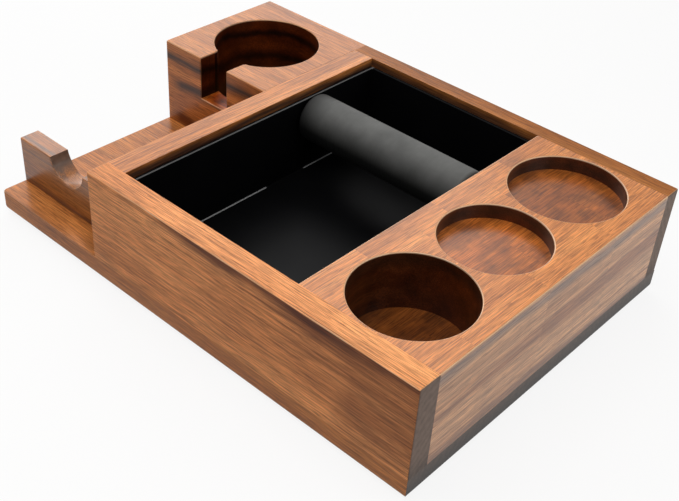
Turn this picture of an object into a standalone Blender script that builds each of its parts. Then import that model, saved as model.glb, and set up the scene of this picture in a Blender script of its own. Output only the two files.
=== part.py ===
"""Espresso tamping station.

A wooden tray board carries a walled bay with a lift-out knock bin, a block with three tool recesses,
a block with a portafilter well and neck slot, and a notched rest for the portafilter's handle.

Lengths are in metres and +Z is up. +X runs along the long front face to the right, +Y from front to rear.
The origin is the middle of the footprint, at the height of the surface that the feet stand on.
"""

import math

import bmesh
import bpy
from mathutils import Vector

# Board: the ledge at its left carries the portafilter, and the box at its right has walls all round
ledge_length = 0.0905
box_length = 0.2295
base_depth = 0.226
base_thickness = 0.013

# Walls of the box
wall_height = 0.0567
front_wall_thickness = 0.014
rear_wall_thickness = 0.0115
left_wall_thickness = 0.015

# Block with the three tool recesses, which closes the right side of the bay
accessory_block_width = 0.086
deep_recess_diameter = 0.065
deep_recess_depth = 0.0355
middle_recess_diameter = 0.060
middle_recess_depth = 0.009
rear_recess_diameter = 0.065
rear_recess_depth = 0.009
front_land = 0.0008
rear_land = 0.0017
middle_recess_shift = -0.0007

# Block with the portafilter well and the slot for its neck
portafilter_block_length = 0.0944
well_diameter = 0.068
neck_slot_width = 0.0235
neck_slot_depth = 0.029
slot_corner_radius = 0.002

# Rest that holds the portafilter's handle
handle_rest_thickness = 0.013
handle_rest_height = 0.030
handle_rest_setback = 0.017
notch_radius = 0.0154
notch_depth = 0.0127

# Knock bin
bin_clearance = 0.0009
bin_wall = 0.0022
bin_rim_drop = 0.0047
bin_corner_radius = 0.0028
bin_rim_radius = 0.0006

# Knock bar across the bin: a steel core in a rubber sleeve
sleeve_diameter = 0.030
sleeve_edge_radius = 0.0022
sleeve_end_gap = 0.0007
core_diameter = 0.012
bar_above_rim = 0.001
bar_set_back = 0.054
bar_screw_diameter = 0.004
bar_screw_head_diameter = 0.0076
bar_screw_length = 0.014

# Wood screws from below, and dowels in the butt joints
wood_screw_diameter = 0.004
wood_screw_head_diameter = 0.0076
wood_screw_length = 0.030
wood_screw_tip = 0.005
screw_head_rim = 0.0003
screw_sink = 0.0003
wall_screw_inset = 0.032
block_screw_side_inset = 0.009
block_screw_end_inset = 0.028
rest_screw_inset = 0.025
dowel_diameter = 0.006
dowel_length = 0.020
dowel_in_wall = 0.007
dowel_chamfer = 0.0006
low_dowel_height = 0.022
middle_dowel_height = 0.0325
high_dowel_height = 0.043
block_dowel_inset = 0.010

# Feet under the board
foot_diameter = 0.014
foot_height = 0.0015
foot_edge = 0.0004
foot_inset = 0.014

# Fits and finish
seam = 0.0003
drill_fit = 0.0003
edge_ease = 0.0006
ease_steps = 2
overcut = 0.002
round_sides = 16
bore_sides = 60
sleeve_sides = 40
smooth_angle = math.radians(35)
merge_distance = 0.00001
same_place = 0.00001

# Heights
base_bottom = foot_height + seam
base_top = base_bottom + base_thickness
deck = base_top + seam
wall_top = deck + wall_height

# Places across the board
base_length = ledge_length + box_length
left_end = -base_length / 2
right_end = base_length / 2
front_face = -base_depth / 2
rear_face = base_depth / 2
box_left = right_end - box_length
bay_left = box_left + left_wall_thickness
bay_right = right_end - accessory_block_width
bay_front = front_face + front_wall_thickness
bay_rear = rear_face - rear_wall_thickness
side_front = bay_front + seam
side_rear = bay_rear - seam
ledge_right = box_left - seam
ledge_middle = (left_end + ledge_right) / 2

# Places of the recesses in their block
recess_line = (bay_right + right_end) / 2
deep_recess_y = side_front + front_land + edge_ease / 2 + deep_recess_diameter / 2
rear_recess_y = side_rear - rear_land - rear_recess_diameter / 2
deep_recess_back = deep_recess_y + deep_recess_diameter / 2
rear_recess_front = rear_recess_y - rear_recess_diameter / 2
middle_recess_y = (deep_recess_back + rear_recess_front) / 2 + middle_recess_shift

# Portafilter well and handle rest
well_front = rear_face - portafilter_block_length
well_y = (well_front + rear_face) / 2
rest_front = front_face + handle_rest_setback
rest_rear = rest_front + handle_rest_thickness
rest_top = deck + handle_rest_height

# Knock bin and its bar
bin_low = Vector((bay_left + bin_clearance, bay_front + bin_clearance, deck))
bin_high = Vector((bay_right - bin_clearance, bay_rear - bin_clearance, wall_top - bin_rim_drop))
bin_middle = (bin_low.x + bin_high.x) / 2
bar_y = bin_high.y - bin_wall - bar_set_back
bar_z = bin_high.z + bar_above_rim - sleeve_diameter / 2
core_length = bin_high.x - bin_low.x - 2 * bin_wall - 2 * seam
sleeve_length = bin_high.x - bin_low.x - 2 * bin_wall - 2 * sleeve_end_gap


def clear_scene():
    for thing in list(bpy.data.objects):
        bpy.data.objects.remove(thing, do_unlink=True)


def new_collection(name):
    collection = bpy.data.collections.new(name)
    bpy.context.scene.collection.children.link(collection)
    return collection


def new_material(name, colour, roughness, metallic=0.0):
    made = bpy.data.materials.new(name)
    made.use_nodes = True
    shader = made.node_tree.nodes["Principled BSDF"]
    shader.inputs["Base Color"].default_value = (*colour, 1.0)
    shader.inputs["Roughness"].default_value = roughness
    shader.inputs["Metallic"].default_value = metallic
    return made


def keep_in(collection, thing):
    for holder in list(thing.users_collection):
        holder.objects.unlink(thing)
    collection.objects.link(thing)


def finish_piece(piece, finish):
    """Files a finished piece with the station's parts and gives it its own material."""
    keep_in(station, piece)
    piece.data.materials.clear()
    piece.data.materials.append(new_material(piece.name, *finish))
    return piece


def make_cutter(tool):
    keep_in(cutters, tool)
    tool.hide_render = True
    tool.display_type = "WIRE"
    return tool


def cut(piece, tool):
    boolean = piece.modifiers.new("cut by " + tool.name, "BOOLEAN")
    boolean.operation = "DIFFERENCE"
    boolean.solver = "EXACT"
    boolean.object = tool


def box(name, low, high):
    """A box between two corners, with its origin in its middle and its scale applied."""
    low, high = Vector(low), Vector(high)
    bpy.ops.mesh.primitive_cube_add(size=1, location=(low + high) / 2)
    made = bpy.context.object
    made.name = name
    made.scale = high - low
    bpy.ops.object.transform_apply(location=False, rotation=False, scale=True)
    return made


def cylinder(name, radius, length, location, turn=(0, 0, 0), sides=round_sides):
    bpy.ops.mesh.primitive_cylinder_add(
        vertices=sides, radius=radius, depth=length, location=location, rotation=turn
    )
    made = bpy.context.object
    made.name = name
    return made


def turned(name, profile, sides, location=(0, 0, 0), turn=(0, 0, 0), ring=False):
    """A profile of radii and heights, listed down its outer side, turned about its own Z axis."""
    mesh = bpy.data.meshes.new(name)
    links = [(i, i + 1) for i in range(len(profile) - 1)]
    if ring:
        links.append((len(profile) - 1, 0))
    mesh.from_pydata([(radius, 0, height) for radius, height in profile], links, [])
    made = bpy.data.objects.new(name, mesh)
    made.location = location
    made.rotation_euler = turn
    station.objects.link(made)
    lathe = made.modifiers.new("turning", "SCREW")
    lathe.steps = sides
    lathe.render_steps = sides
    lathe.use_merge_vertices = True
    lathe.merge_threshold = merge_distance
    return made


def bake(piece):
    """Replaces a piece's mesh by the shape that its modifiers give."""
    bpy.context.view_layer.update()
    graph = bpy.context.evaluated_depsgraph_get()
    mesh = bpy.data.meshes.new_from_object(piece.evaluated_get(graph))
    piece.modifiers.clear()
    piece.data = mesh
    mesh.name = piece.name


def round_edges(piece, width, steps, chosen):
    """Rounds the edges whose two ends, in world places, the test accepts."""
    bpy.context.view_layer.update()
    shape = bmesh.new()
    shape.from_mesh(piece.data)
    place = piece.matrix_world
    picked = [e for e in shape.edges if chosen(*(place @ end.co for end in e.verts))]
    bmesh.ops.bevel(
        shape, geom=picked, offset=width, offset_type="OFFSET", segments=steps,
        profile=0.5, affect="EDGES", clamp_overlap=True,
    )
    shape.to_mesh(piece.data)
    shape.free()


def both(a, b, axis, value):
    """Whether both ends of an edge lie on the plane across an axis at a value."""
    return abs(a[axis] - value) < same_place and abs(b[axis] - value) < same_place


def along(a, b, axis):
    """Whether an edge runs along an axis."""
    return all(abs(a[i] - b[i]) < same_place for i in range(3) if i != axis)


def smooth(piece):
    piece.data.shade_smooth()
    piece.data.set_sharp_from_angle(angle=smooth_angle)


def quarter(centre_radius, centre_height, radius, start, steps):
    """Points of a quarter round in a profile, from a start angle downwards."""
    points = []
    for i in range(steps + 1):
        angle = start - math.pi / 2 * i / steps
        points.append((centre_radius + radius * math.cos(angle), centre_height + radius * math.sin(angle)))
    return points


def screw_profile(diameter, head_diameter, length, tip, fit=0.0, reach=0.0):
    """A countersunk screw pointing up from its head, or with a fit and a reach the hole for it."""
    shank = diameter / 2 + fit
    head = head_diameter / 2 + fit
    neck = screw_head_rim + head_diameter / 2 - diameter / 2
    if fit:
        crown = [(0, length + fit), (shank, length + fit)]
    else:
        crown = [(0, length), (shank, length - tip)] if tip else [(0, length), (shank, length)]
    return crown + [(shank, neck), (head, screw_head_rim), (head, -reach), (0, -reach)]


def drive_wood_screw(name, x, y, carried):
    """A wood screw through the base board into the piece above it, with the hole that it makes in both."""
    place = (x, y, base_bottom + screw_sink)
    size = (wood_screw_diameter, wood_screw_head_diameter, wood_screw_length)
    screw = turned(name, screw_profile(*size, wood_screw_tip), round_sides, place)
    finish_piece(screw, zinc)
    drilled = screw_profile(*size, 0, drill_fit, screw_sink + overcut)
    hole = make_cutter(turned(name + "_hole", drilled, round_sides, place))
    cut(bpy.data.objects["base_board"], hole)
    cut(carried, hole)


def drive_dowel(name, middle, turn, first, second):
    """A dowel across a butt joint, with the hole that it fills in both pieces."""
    half = dowel_length / 2
    radius = dowel_diameter / 2
    profile = [
        (0, half), (radius - dowel_chamfer, half), (radius, half - dowel_chamfer),
        (radius, dowel_chamfer - half), (radius - dowel_chamfer, -half), (0, -half),
    ]
    finish_piece(turned(name, profile, round_sides, middle, turn), beech)
    hole = cylinder(name + "_hole", radius + drill_fit, dowel_length + 2 * drill_fit, middle, turn)
    make_cutter(hole)
    cut(first, hole)
    cut(second, hole)


def recess_cutter(name, diameter, depth, x, y):
    """A flat-bottomed round recess with an eased rim."""
    radius = diameter / 2
    rim = [(0, wall_top + overcut), (radius + edge_ease, wall_top + overcut)]
    for i in range(ease_steps + 1):
        angle = math.pi / 2 * i / ease_steps
        outwards = edge_ease * (1 - math.sin(angle))
        rim.append((radius + outwards, wall_top - edge_ease * (1 - math.cos(angle))))
    tool = turned(name, rim + [(radius, wall_top - depth), (0, wall_top - depth)], bore_sides, (x, y, 0))
    return make_cutter(tool)


def build_base_board():
    board = box("base_board", (left_end, front_face, base_bottom), (right_end, rear_face, base_top))
    round_edges(board, edge_ease, ease_steps, lambda a, b: (
        along(a, b, 2)
        or both(a, b, 2, base_bottom)
        or (both(a, b, 2, base_top) and both(a, b, 0, left_end))
    ))
    smooth(board)
    return finish_piece(board, walnut)


def build_front_wall():
    wall = box("front_wall", (box_left, front_face, deck), (right_end, bay_front, wall_top))
    round_edges(wall, edge_ease, ease_steps, lambda a, b: (
        (both(a, b, 1, front_face) and not both(a, b, 2, deck))
        or (both(a, b, 2, wall_top) and along(a, b, 1))
    ))
    smooth(wall)
    return finish_piece(wall, walnut)


def build_rear_wall():
    wall = box("rear_wall", (box_left, bay_rear, deck), (right_end, rear_face, wall_top))
    round_edges(wall, edge_ease, ease_steps, lambda a, b: (
        (both(a, b, 1, rear_face) and not both(a, b, 2, deck) and not both(a, b, 0, box_left))
        or (both(a, b, 2, wall_top) and both(a, b, 0, right_end))
    ))
    smooth(wall)
    return finish_piece(wall, walnut)


def build_left_wall():
    wall = box("left_wall", (box_left, side_front, deck), (bay_left, side_rear, wall_top))
    round_edges(wall, edge_ease, ease_steps, lambda a, b: both(a, b, 2, wall_top) and along(a, b, 1))
    smooth(wall)
    return finish_piece(wall, walnut)


def build_accessory_block():
    block = box("accessory_block", (bay_right, side_front, deck), (right_end, side_rear, wall_top))
    round_edges(block, edge_ease, ease_steps, lambda a, b: both(a, b, 2, wall_top) and along(a, b, 1))
    for name, diameter, depth, y in (
        ("deep_recess", deep_recess_diameter, deep_recess_depth, deep_recess_y),
        ("middle_recess", middle_recess_diameter, middle_recess_depth, middle_recess_y),
        ("rear_recess", rear_recess_diameter, rear_recess_depth, rear_recess_y),
    ):
        cut(block, recess_cutter(name, diameter, depth, recess_line, y))
    bake(block)
    smooth(block)
    return finish_piece(block, walnut)


def build_portafilter_block():
    """The well goes right through to the board. The neck slot stops above it and opens to the front."""
    block = box("portafilter_block", (left_end, well_front, deck), (ledge_right, rear_face, wall_top))
    slot_floor = wall_top - neck_slot_depth
    half_slot = neck_slot_width / 2
    radius = well_diameter / 2
    well = cylinder(
        "portafilter_well", radius, wall_height + 2 * overcut,
        (ledge_middle, well_y, (deck + wall_top) / 2), sides=bore_sides,
    )
    slot = box(
        "neck_slot", (ledge_middle - half_slot, well_front - overcut, slot_floor),
        (ledge_middle + half_slot, well_y, wall_top + overcut),
    )
    cut(block, make_cutter(well))
    cut(block, make_cutter(slot))
    bake(block)
    slot_back = well_y - math.sqrt(radius**2 - half_slot**2)
    round_edges(block, slot_corner_radius, 3, lambda a, b: (
        along(a, b, 2)
        and abs(abs(a.x - ledge_middle) - half_slot) < same_place
        and abs(a.y - slot_back) < slot_corner_radius / 4
    ))
    round_edges(block, edge_ease, ease_steps, lambda a, b: (
        (both(a, b, 2, wall_top) and not both(a, b, 0, ledge_right))
        or (both(a, b, 1, well_front) and not both(a, b, 2, deck) and not both(a, b, 0, ledge_right))
        or (both(a, b, 0, left_end) and both(a, b, 1, rear_face))
    ))
    smooth(block)
    return finish_piece(block, walnut)


def build_handle_rest():
    """The rest is a board on edge, with a round notch in line with the portafilter well."""
    rest = box("handle_rest", (left_end, rest_front, deck), (ledge_right, rest_rear, rest_top))
    notch = cylinder(
        "handle_notch", notch_radius, handle_rest_thickness + 2 * overcut,
        (ledge_middle, (rest_front + rest_rear) / 2, rest_top - notch_depth + notch_radius),
        (math.pi / 2, 0, 0), bore_sides,
    )
    cut(rest, make_cutter(notch))
    bake(rest)
    round_edges(rest, edge_ease, ease_steps, lambda a, b: (
        (both(a, b, 1, rest_front) or both(a, b, 1, rest_rear))
        and not both(a, b, 2, deck) and not both(a, b, 0, ledge_right)
        or (both(a, b, 2, rest_top) and both(a, b, 0, left_end))
    ))
    smooth(rest)
    return finish_piece(rest, walnut)


def fasten_woodwork():
    """Wood screws hold every upright piece to the board, and dowels hold the butt joints."""
    get = bpy.data.objects
    front_line = (front_face + bay_front) / 2
    rear_line = (bay_rear + rear_face) / 2
    left_line = (box_left + bay_left) / 2
    run = (box_left + wall_screw_inset, (box_left + right_end) / 2, right_end - wall_screw_inset)
    for number, x in enumerate(run, 1):
        drive_wood_screw(f"front_wall_screw_{number}", x, front_line, get["front_wall"])
        drive_wood_screw(f"rear_wall_screw_{number}", x, rear_line, get["rear_wall"])
    for number, y in enumerate((bay_front + wall_screw_inset, bay_rear - wall_screw_inset), 1):
        drive_wood_screw(f"left_wall_screw_{number}", left_line, y, get["left_wall"])
    corners = (
        ("accessory_block", bay_right, right_end, side_front, side_rear),
        ("portafilter_block", left_end, ledge_right, well_front, rear_face),
    )
    for name, left, right, front, rear in corners:
        number = 0
        for x in (left + block_screw_side_inset, right - block_screw_side_inset):
            for y in (front + block_screw_end_inset, rear - block_screw_end_inset):
                number += 1
                drive_wood_screw(f"{name}_screw_{number}", x, y, get[name])
    for number, x in enumerate((left_end + rest_screw_inset, ledge_right - rest_screw_inset), 1):
        drive_wood_screw(f"handle_rest_screw_{number}", x, (rest_front + rest_rear) / 2, get["handle_rest"])

    across = (math.pi / 2, 0, 0)
    sideways = (0, math.pi / 2, 0)
    reach = dowel_length / 2 - dowel_in_wall
    front_joint = bay_front + reach
    rear_joint = bay_rear - reach
    for number, height in enumerate((low_dowel_height, high_dowel_height), 1):
        z = deck + height
        for end, wall, y in (("front", "front_wall", front_joint), ("rear", "rear_wall", rear_joint)):
            name = f"left_wall_dowel_{end}_{number}"
            drive_dowel(name, (left_line, y, z), across, get[wall], get["left_wall"])
    z = deck + high_dowel_height
    for number, x in enumerate((bay_right + block_dowel_inset, right_end - block_dowel_inset), 1):
        for end, wall, y in (("front", "front_wall", front_joint), ("rear", "rear_wall", rear_joint)):
            name = f"accessory_block_dowel_{end}_{number}"
            drive_dowel(name, (x, y, z), across, get[wall], get["accessory_block"])
    x = box_left - reach
    z = deck + middle_dowel_height
    for number, y in enumerate((well_front + block_dowel_inset, side_rear - block_dowel_inset), 1):
        name = f"portafilter_block_dowel_{number}"
        drive_dowel(name, (x, y, z), sideways, get["left_wall"], get["portafilter_block"])


def build_feet():
    radius = foot_diameter / 2
    profile = [
        (0, foot_height), (radius, foot_height), (radius, foot_edge), (radius - foot_edge, 0), (0, 0),
    ]
    for side, x in (("left", left_end + foot_inset), ("right", right_end - foot_inset)):
        for end, y in (("front", front_face + foot_inset), ("rear", rear_face - foot_inset)):
            finish_piece(turned(f"foot_{end}_{side}", profile, round_sides, (x, y, 0)), foot_rubber)


def hang(piece, carrier):
    """Makes a piece ride on an empty and keeps it where it stands."""
    piece.location = Vector(piece.location) - carrier.location
    piece.parent = carrier


def build_bin(carrier):
    """An open box with rounded corners and a wall from Solidify, with a countersunk hole in each side."""
    tray = box("knock_bin", bin_low, bin_high)
    shape = bmesh.new()
    shape.from_mesh(tray.data)
    lid = [face for face in shape.faces if face.normal.z > 0.5]
    bmesh.ops.delete(shape, geom=lid, context="FACES_ONLY")
    shape.to_mesh(tray.data)
    shape.free()
    round_edges(tray, bin_corner_radius, 4, lambda a, b: not both(a, b, 2, bin_high.z))
    shell = tray.modifiers.new("wall", "SOLIDIFY")
    shell.thickness = bin_wall
    shell.offset = -1
    shell.use_even_offset = True
    bake(tray)
    round_edges(tray, bin_rim_radius, 2, lambda a, b: (
        both(a, b, 2, bin_high.z) and not crosses_rim(a, b)
    ))
    finish_piece(tray, black_abs)
    for side, x, turn in (("left", bin_low.x, math.pi / 2), ("right", bin_high.x, -math.pi / 2)):
        size = (bar_screw_diameter, bar_screw_head_diameter, bar_screw_length)
        place = (x + math.copysign(screw_sink, bin_middle - x), bar_y, bar_z)
        screw = turned(f"bar_screw_{side}", screw_profile(*size, 0), round_sides, place, (0, turn, 0))
        finish_piece(screw, zinc)
        hang(screw, carrier)
        hole = turned(
            f"bar_screw_{side}_hole", screw_profile(*size, 0, drill_fit, screw_sink + overcut),
            round_sides, place, (0, turn, 0),
        )
        make_cutter(hole)
        hang(hole, carrier)
        cut(tray, hole)
    smooth(tray)
    hang(tray, carrier)
    return tray


def crosses_rim(a, b):
    """Whether an edge of the rim runs from its outer line to its inner line."""
    return (a - b).length < bin_wall * 1.6 and not rim_side(a) == rim_side(b)


def rim_side(point):
    """1 on the bin's outer line and 0 on its inner line."""
    inset = bin_wall / 2
    corner = bin_corner_radius
    middle = (bin_low + bin_high) / 2
    half = (bin_high - bin_low) / 2
    dx = abs(point.x - middle.x) - (half.x - corner)
    dy = abs(point.y - middle.y) - (half.y - corner)
    if dx > 0 and dy > 0:
        return int(math.hypot(dx, dy) > corner - inset)
    return int(max(dx, dy) > corner - inset)


def build_bar(carrier):
    """A steel core with a tapped hole in each end, inside a thick rubber sleeve."""
    sideways = (0, math.pi / 2, 0)
    place = (bin_middle, bar_y, bar_z)
    core = cylinder("bar_core", core_diameter / 2, core_length, place, sideways, sleeve_sides)
    for side in ("left", "right"):
        cut(core, bpy.data.objects[f"bar_screw_{side}_hole"])
    smooth(core)
    finish_piece(core, steel)
    hang(core, carrier)

    outer = sleeve_diameter / 2
    inner = core_diameter / 2 + seam
    half = sleeve_length / 2
    edge = sleeve_edge_radius
    profile = [(inner, half)]
    profile += quarter(outer - edge, half - edge, edge, math.pi / 2, 4)
    profile += quarter(outer - edge, edge - half, edge, 0, 4)
    profile += [(inner, -half)]
    sleeve = turned("bar_sleeve", profile, sleeve_sides, place, sideways, ring=True)
    finish_piece(sleeve, sleeve_rubber)
    hang(sleeve, carrier)


walnut = ((0.27, 0.125, 0.065), 0.45)
beech = ((0.62, 0.45, 0.28), 0.6)
black_abs = ((0.012, 0.012, 0.013), 0.35)
steel = ((0.55, 0.55, 0.56), 0.3, 1.0)
zinc = ((0.6, 0.6, 0.58), 0.35, 1.0)
sleeve_rubber = ((0.035, 0.035, 0.037), 0.6)
foot_rubber = ((0.02, 0.02, 0.02), 0.8)

clear_scene()
station = new_collection("espresso_tamping_station")
cutters = new_collection("cutters")
build_base_board()
build_front_wall()
build_rear_wall()
build_left_wall()
build_accessory_block()
build_portafilter_block()
build_handle_rest()
fasten_woodwork()
build_feet()
bin_lift = bpy.data.objects.new("bin_lift", None)
bin_lift.location = (bin_middle, (bin_low.y + bin_high.y) / 2, deck)
station.objects.link(bin_lift)
build_bin(bin_lift)
build_bar(bin_lift)
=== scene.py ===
"""Dresses the espresso tamping station: stained and lacquered wood, a moulded bin and its rubber bar."""

import math
from collections import namedtuple

import bpy
from bpy.props import FloatProperty, FloatVectorProperty, IntProperty, PointerProperty
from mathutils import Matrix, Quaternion, Vector


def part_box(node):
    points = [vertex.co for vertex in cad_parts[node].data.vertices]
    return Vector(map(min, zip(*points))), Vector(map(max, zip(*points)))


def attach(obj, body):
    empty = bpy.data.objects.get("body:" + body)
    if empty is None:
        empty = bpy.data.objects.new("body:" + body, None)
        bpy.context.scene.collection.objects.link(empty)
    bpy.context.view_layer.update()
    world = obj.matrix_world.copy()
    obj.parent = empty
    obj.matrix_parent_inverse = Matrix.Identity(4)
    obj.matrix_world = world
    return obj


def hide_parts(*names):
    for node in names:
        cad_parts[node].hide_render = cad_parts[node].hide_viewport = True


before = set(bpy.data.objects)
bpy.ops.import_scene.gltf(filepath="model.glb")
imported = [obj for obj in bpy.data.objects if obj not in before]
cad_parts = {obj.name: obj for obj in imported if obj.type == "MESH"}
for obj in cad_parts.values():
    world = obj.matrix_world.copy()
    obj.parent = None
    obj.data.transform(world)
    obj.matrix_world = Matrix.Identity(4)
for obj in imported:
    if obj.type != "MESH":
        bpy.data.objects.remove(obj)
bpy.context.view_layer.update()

bl_info = {
    "name": "Espresso tamping station",
    "version": (1, 0, 0),
    "blender": (4, 5, 0),
    "location": "3D View > Sidebar > Station",
    "description": "Builds the wooden tamping station with its knock bin, bar, fixings and studio",
    "category": "Add Mesh",
}

# The lowest and highest corner of each solid that a modelled piece stands for.
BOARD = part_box("base_board")
FRONT_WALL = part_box("front_wall")
REAR_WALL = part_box("rear_wall")
LEFT_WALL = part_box("left_wall")
TOOL_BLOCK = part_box("accessory_block")
WELL_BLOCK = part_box("portafilter_block")
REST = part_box("handle_rest")
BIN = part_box("knock_bin")
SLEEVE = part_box("bar_sleeve")

NODES = sorted(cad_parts)
WOOD_SCREWS = [name for name in NODES if "_screw_" in name and not name.startswith("bar")]
BAR_SCREWS = [name for name in NODES if name.startswith("bar_screw")]
DOWELS = [name for name in NODES if "_dowel_" in name]
FEET = [name for name in NODES if name.startswith("foot_")]

AXES = {"x": 0, "y": 1, "z": 2}
# How an upright cylinder is turned to lie along an axis.
TURNS = {"x": (0, math.pi / 2, 0), "y": (math.pi / 2, 0, 0), "z": (0, 0, 0)}
SAME_PLACE = 0.00002
SMOOTH_ANGLE = math.radians(40)

# How far a cutter stands out of the wood, and the room left round dowels, shanks, heads and the bar's core.
REACH = 0.004
FIT = 0.0001
HEAD_ROOM = 0.0004
# Faces round a screw, and the radii of its shank and of the holes for the bar's screws.
SCREW_SIDES = 32
WOOD_SHANK = 0.002
BAR_SHANK = 0.0019
BAR_HOLE = 0.0021

# How long and how wide the figures of the wood are, in metres. Fibres and pores are 0.1 to 0.3 mm wide in
# acacia, and thin lines about as wide; they are drawn about 0.5 mm wide, or the render would lose them.
BAND_LENGTH = 0.24
HEART_LENGTH = 0.35
STREAK = (0.100, 0.0026)
FIBRE = (0.017, 0.0005)
PORE = (0.008, 0.0005)
LINE = (0.070, 0.0006)
CLOUD = (0.060, 0.035)
LAYER = (0.600, 0.0048)
BELT_WANDER = (0.070, 0.030)
# Patches in which the painted edge highlight is stronger.
EDGE_HIGHLIGHT_PATCH = (0.030, 0.030)
END_FLECK = (0.010, 0.003)
YEAR_RING = 0.0042
STAIN_POOL = 0.013

# The camera's place, the way it looks, how far it is turned about that, and its lens in mm.
CAMERA_PLACE = (0.34265, -0.39079, 0.39203)
CAMERA_LOOK = (-0.51281, 0.61169, -0.60238)
CAMERA_ROLL = math.radians(4.19)
CAMERA_LENS = 57.3

# A darker or lighter band in a board's sides, a layer of the wood or painted shade: its height, half its
# thickness, its strength and colour, and where along x it starts.
Belt = namedtuple("Belt", "height half strength shade start", defaults=(-1.0,))
# A bored hole: centre, radius, the heights of its floor and rim, and how light the stain and painted shade
# leave its floor.
Bore = namedtuple("Bore", "centre radius floor rim floor_tone")
# A wood as it is built: its nodes, the place its figures read, the true place and how squarely the surface
# faces each axis, both split in x, y and z, the number of the axis that its grain follows, and its seed.
Wood = namedtuple("Wood", "tree place where facing axis seed")


def length(name, description, default):
    """A length that the sidebar shows."""
    return FloatProperty(
        name=name, description=description, default=default, min=0.0, max=1.0,
        subtype="DISTANCE", unit="LENGTH", precision=5,
    )


def linear(code):
    """Turns an sRGB hex colour into the linear values that a shader takes."""
    parts = [int(code[i:i + 2], 16) / 255 for i in (1, 3, 5)]
    return [c / 12.92 if c <= 0.04045 else ((c + 0.055) / 1.055) ** 2.4 for c in parts]


def colour(name, description, code):
    """A colour that the sidebar shows."""
    return FloatVectorProperty(
        name=name, description=description, default=linear(code), size=3, min=0.0, max=1.0, subtype="COLOR"
    )


class StationSizes(bpy.types.PropertyGroup):
    """Sizes of the parts that the solids leave to the modelling."""

    edge: length("Eased edge", "Radius sanded on the outer edges of the wood", 0.0008)
    arris: length("Arris", "Radius on edges that close against another piece", 0.00025)
    underside: length("Underside edge", "Radius of the board's underside and left corners", 0.003)
    edge_steps: IntProperty(name="Edge steps", description="Faces across an eased edge", default=3, min=1)
    bore_sides: IntProperty(name="Bore sides", description="Faces round a recess", default=128, min=24)
    deep_recess: length("Deep recess", "Diameter of the deep tool recess", 0.065)
    deep_recess_depth: length("Deep recess depth", "Depth of the deep tool recess", 0.0355)
    middle_recess: length("Middle recess", "Diameter of the middle tool recess", 0.060)
    middle_recess_depth: length("Middle recess depth", "Depth of the middle tool recess", 0.009)
    rear_recess: length("Rear recess", "Diameter of the rear tool recess", 0.065)
    rear_recess_depth: length("Rear recess depth", "Depth of the rear tool recess", 0.009)
    front_land: length("Front land", "Wood left in front of the deep recess", 0.0011)
    rear_land: length("Rear land", "Wood left behind the rear recess", 0.0017)
    middle_shift: length("Middle shift", "How far the middle recess stands forward of halfway", 0.0007)
    well: length("Well", "Diameter of the portafilter well", 0.068)
    neck_slot: length("Neck slot", "Width of the slot for the portafilter's neck", 0.0235)
    neck_slot_depth: length("Neck slot depth", "Depth of that slot", 0.029)
    slot_corner: length("Slot corner", "Radius where that slot opens into the well", 0.002)
    notch_radius: length("Notch radius", "Radius of the notch in the handle rest", 0.0154)
    notch_depth: length("Notch depth", "Depth of that notch", 0.0127)
    bin_wall: length("Bin wall", "Wall of the knock bin", 0.0022)
    bin_corner: length("Bin corner", "Outer radius of the bin's corners", 0.0028)
    bin_rim: length("Bin rim", "Radius on the bin's rim", 0.0007)
    bar_core: length("Bar core", "Diameter of the steel core", 0.012)
    sleeve_end: length("Sleeve end", "Radius on the ends of the rubber sleeve", 0.0026)


class StationColours(bpy.types.PropertyGroup):
    """Colours of the finishes."""

    wood_light: colour("Light wood", "Lightest streaks of the wood", "#e8964f")
    wood_brown: colour("Brown wood", "Body colour of the wood", "#cf7f3f")
    wood_dark: colour("Dark wood", "Dark streaks of the wood", "#9c5a2a")
    wood_heart: colour("Heartwood", "Grey-brown heartwood bands", "#5c473d")
    wood_end: colour("End grain", "Stained end grain", "#6a574b")
    wood_pore: colour("Pores", "Open pores, thin lines and brown belts", "#5e2f14")
    wood_layer: colour("Light layers", "Light layers on the sawn side", "#ca9c73")
    wood_layer_dark: colour("Dark layers", "Dark layers on the sawn side", "#7d553c")
    # Painted highlight: the colour of the sanded edges.
    wood_edge_highlight: colour("Rubbed wood", "Edges where the stain is rubbed through", "#f0c9a0")
    wood_flame: colour("Red-brown belts", "Belts in the front wall and portafilter block", "#501c04")
    wood_grey: colour("Grey belt", "Greyish belt under the top edge at the right end", "#6e625c")
    # Black-brown bands in the wood, and painted shade at the board's foot and under the walls' tops.
    wood_ink_and_painted_shade: colour("Black-brown belts", "Belts in the board, walls and portafilter block", "#2b211f")
    # Stain and painted shade: darkens the walls of the bores.
    bore_stain_and_shade: colour("Bore stain", "What the stain leaves of the colour of a bore's wall", "#694b38")
    floor_stain: colour("Floor stain", "What it leaves of the colour of a recess's floor", "#ffe5bc")
    plastic: colour("Moulded plastic", "Black of the knock bin", "#070708")
    # Painted highlight: the colour of the light lines on the bin's fillet and rim.
    bin_painted_highlight: colour("Scuffed plastic", "Where the bin is burnished, at a fillet and the rim", "#8c8c8c")
    rubber: colour("Sleeve rubber", "Grey-black of the bar's sleeve", "#5a5a58")
    foot: colour("Foot rubber", "Black of the feet", "#161616")
    zinc: colour("Zinc", "Zinc plate on the screws", "#b9b7b0")
    steel: colour("Steel", "Drawn steel of the bar's core", "#a3a4a6")
    beech: colour("Beech", "Turned beech of the dowels", "#c79a68")
    floor: colour("Studio floor", "Pale board under the station", "#e6e5e3")


def sizes():
    """The sizes that the sidebar shows."""
    return bpy.context.scene.station_sizes


def colours():
    """The colours that the sidebar shows."""
    return bpy.context.scene.station_colours


def only(piece):
    """Leaves nothing but this piece selected, and makes it active."""
    bpy.ops.object.select_all(action="DESELECT")
    piece.select_set(True)
    bpy.context.view_layer.objects.active = piece


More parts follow.
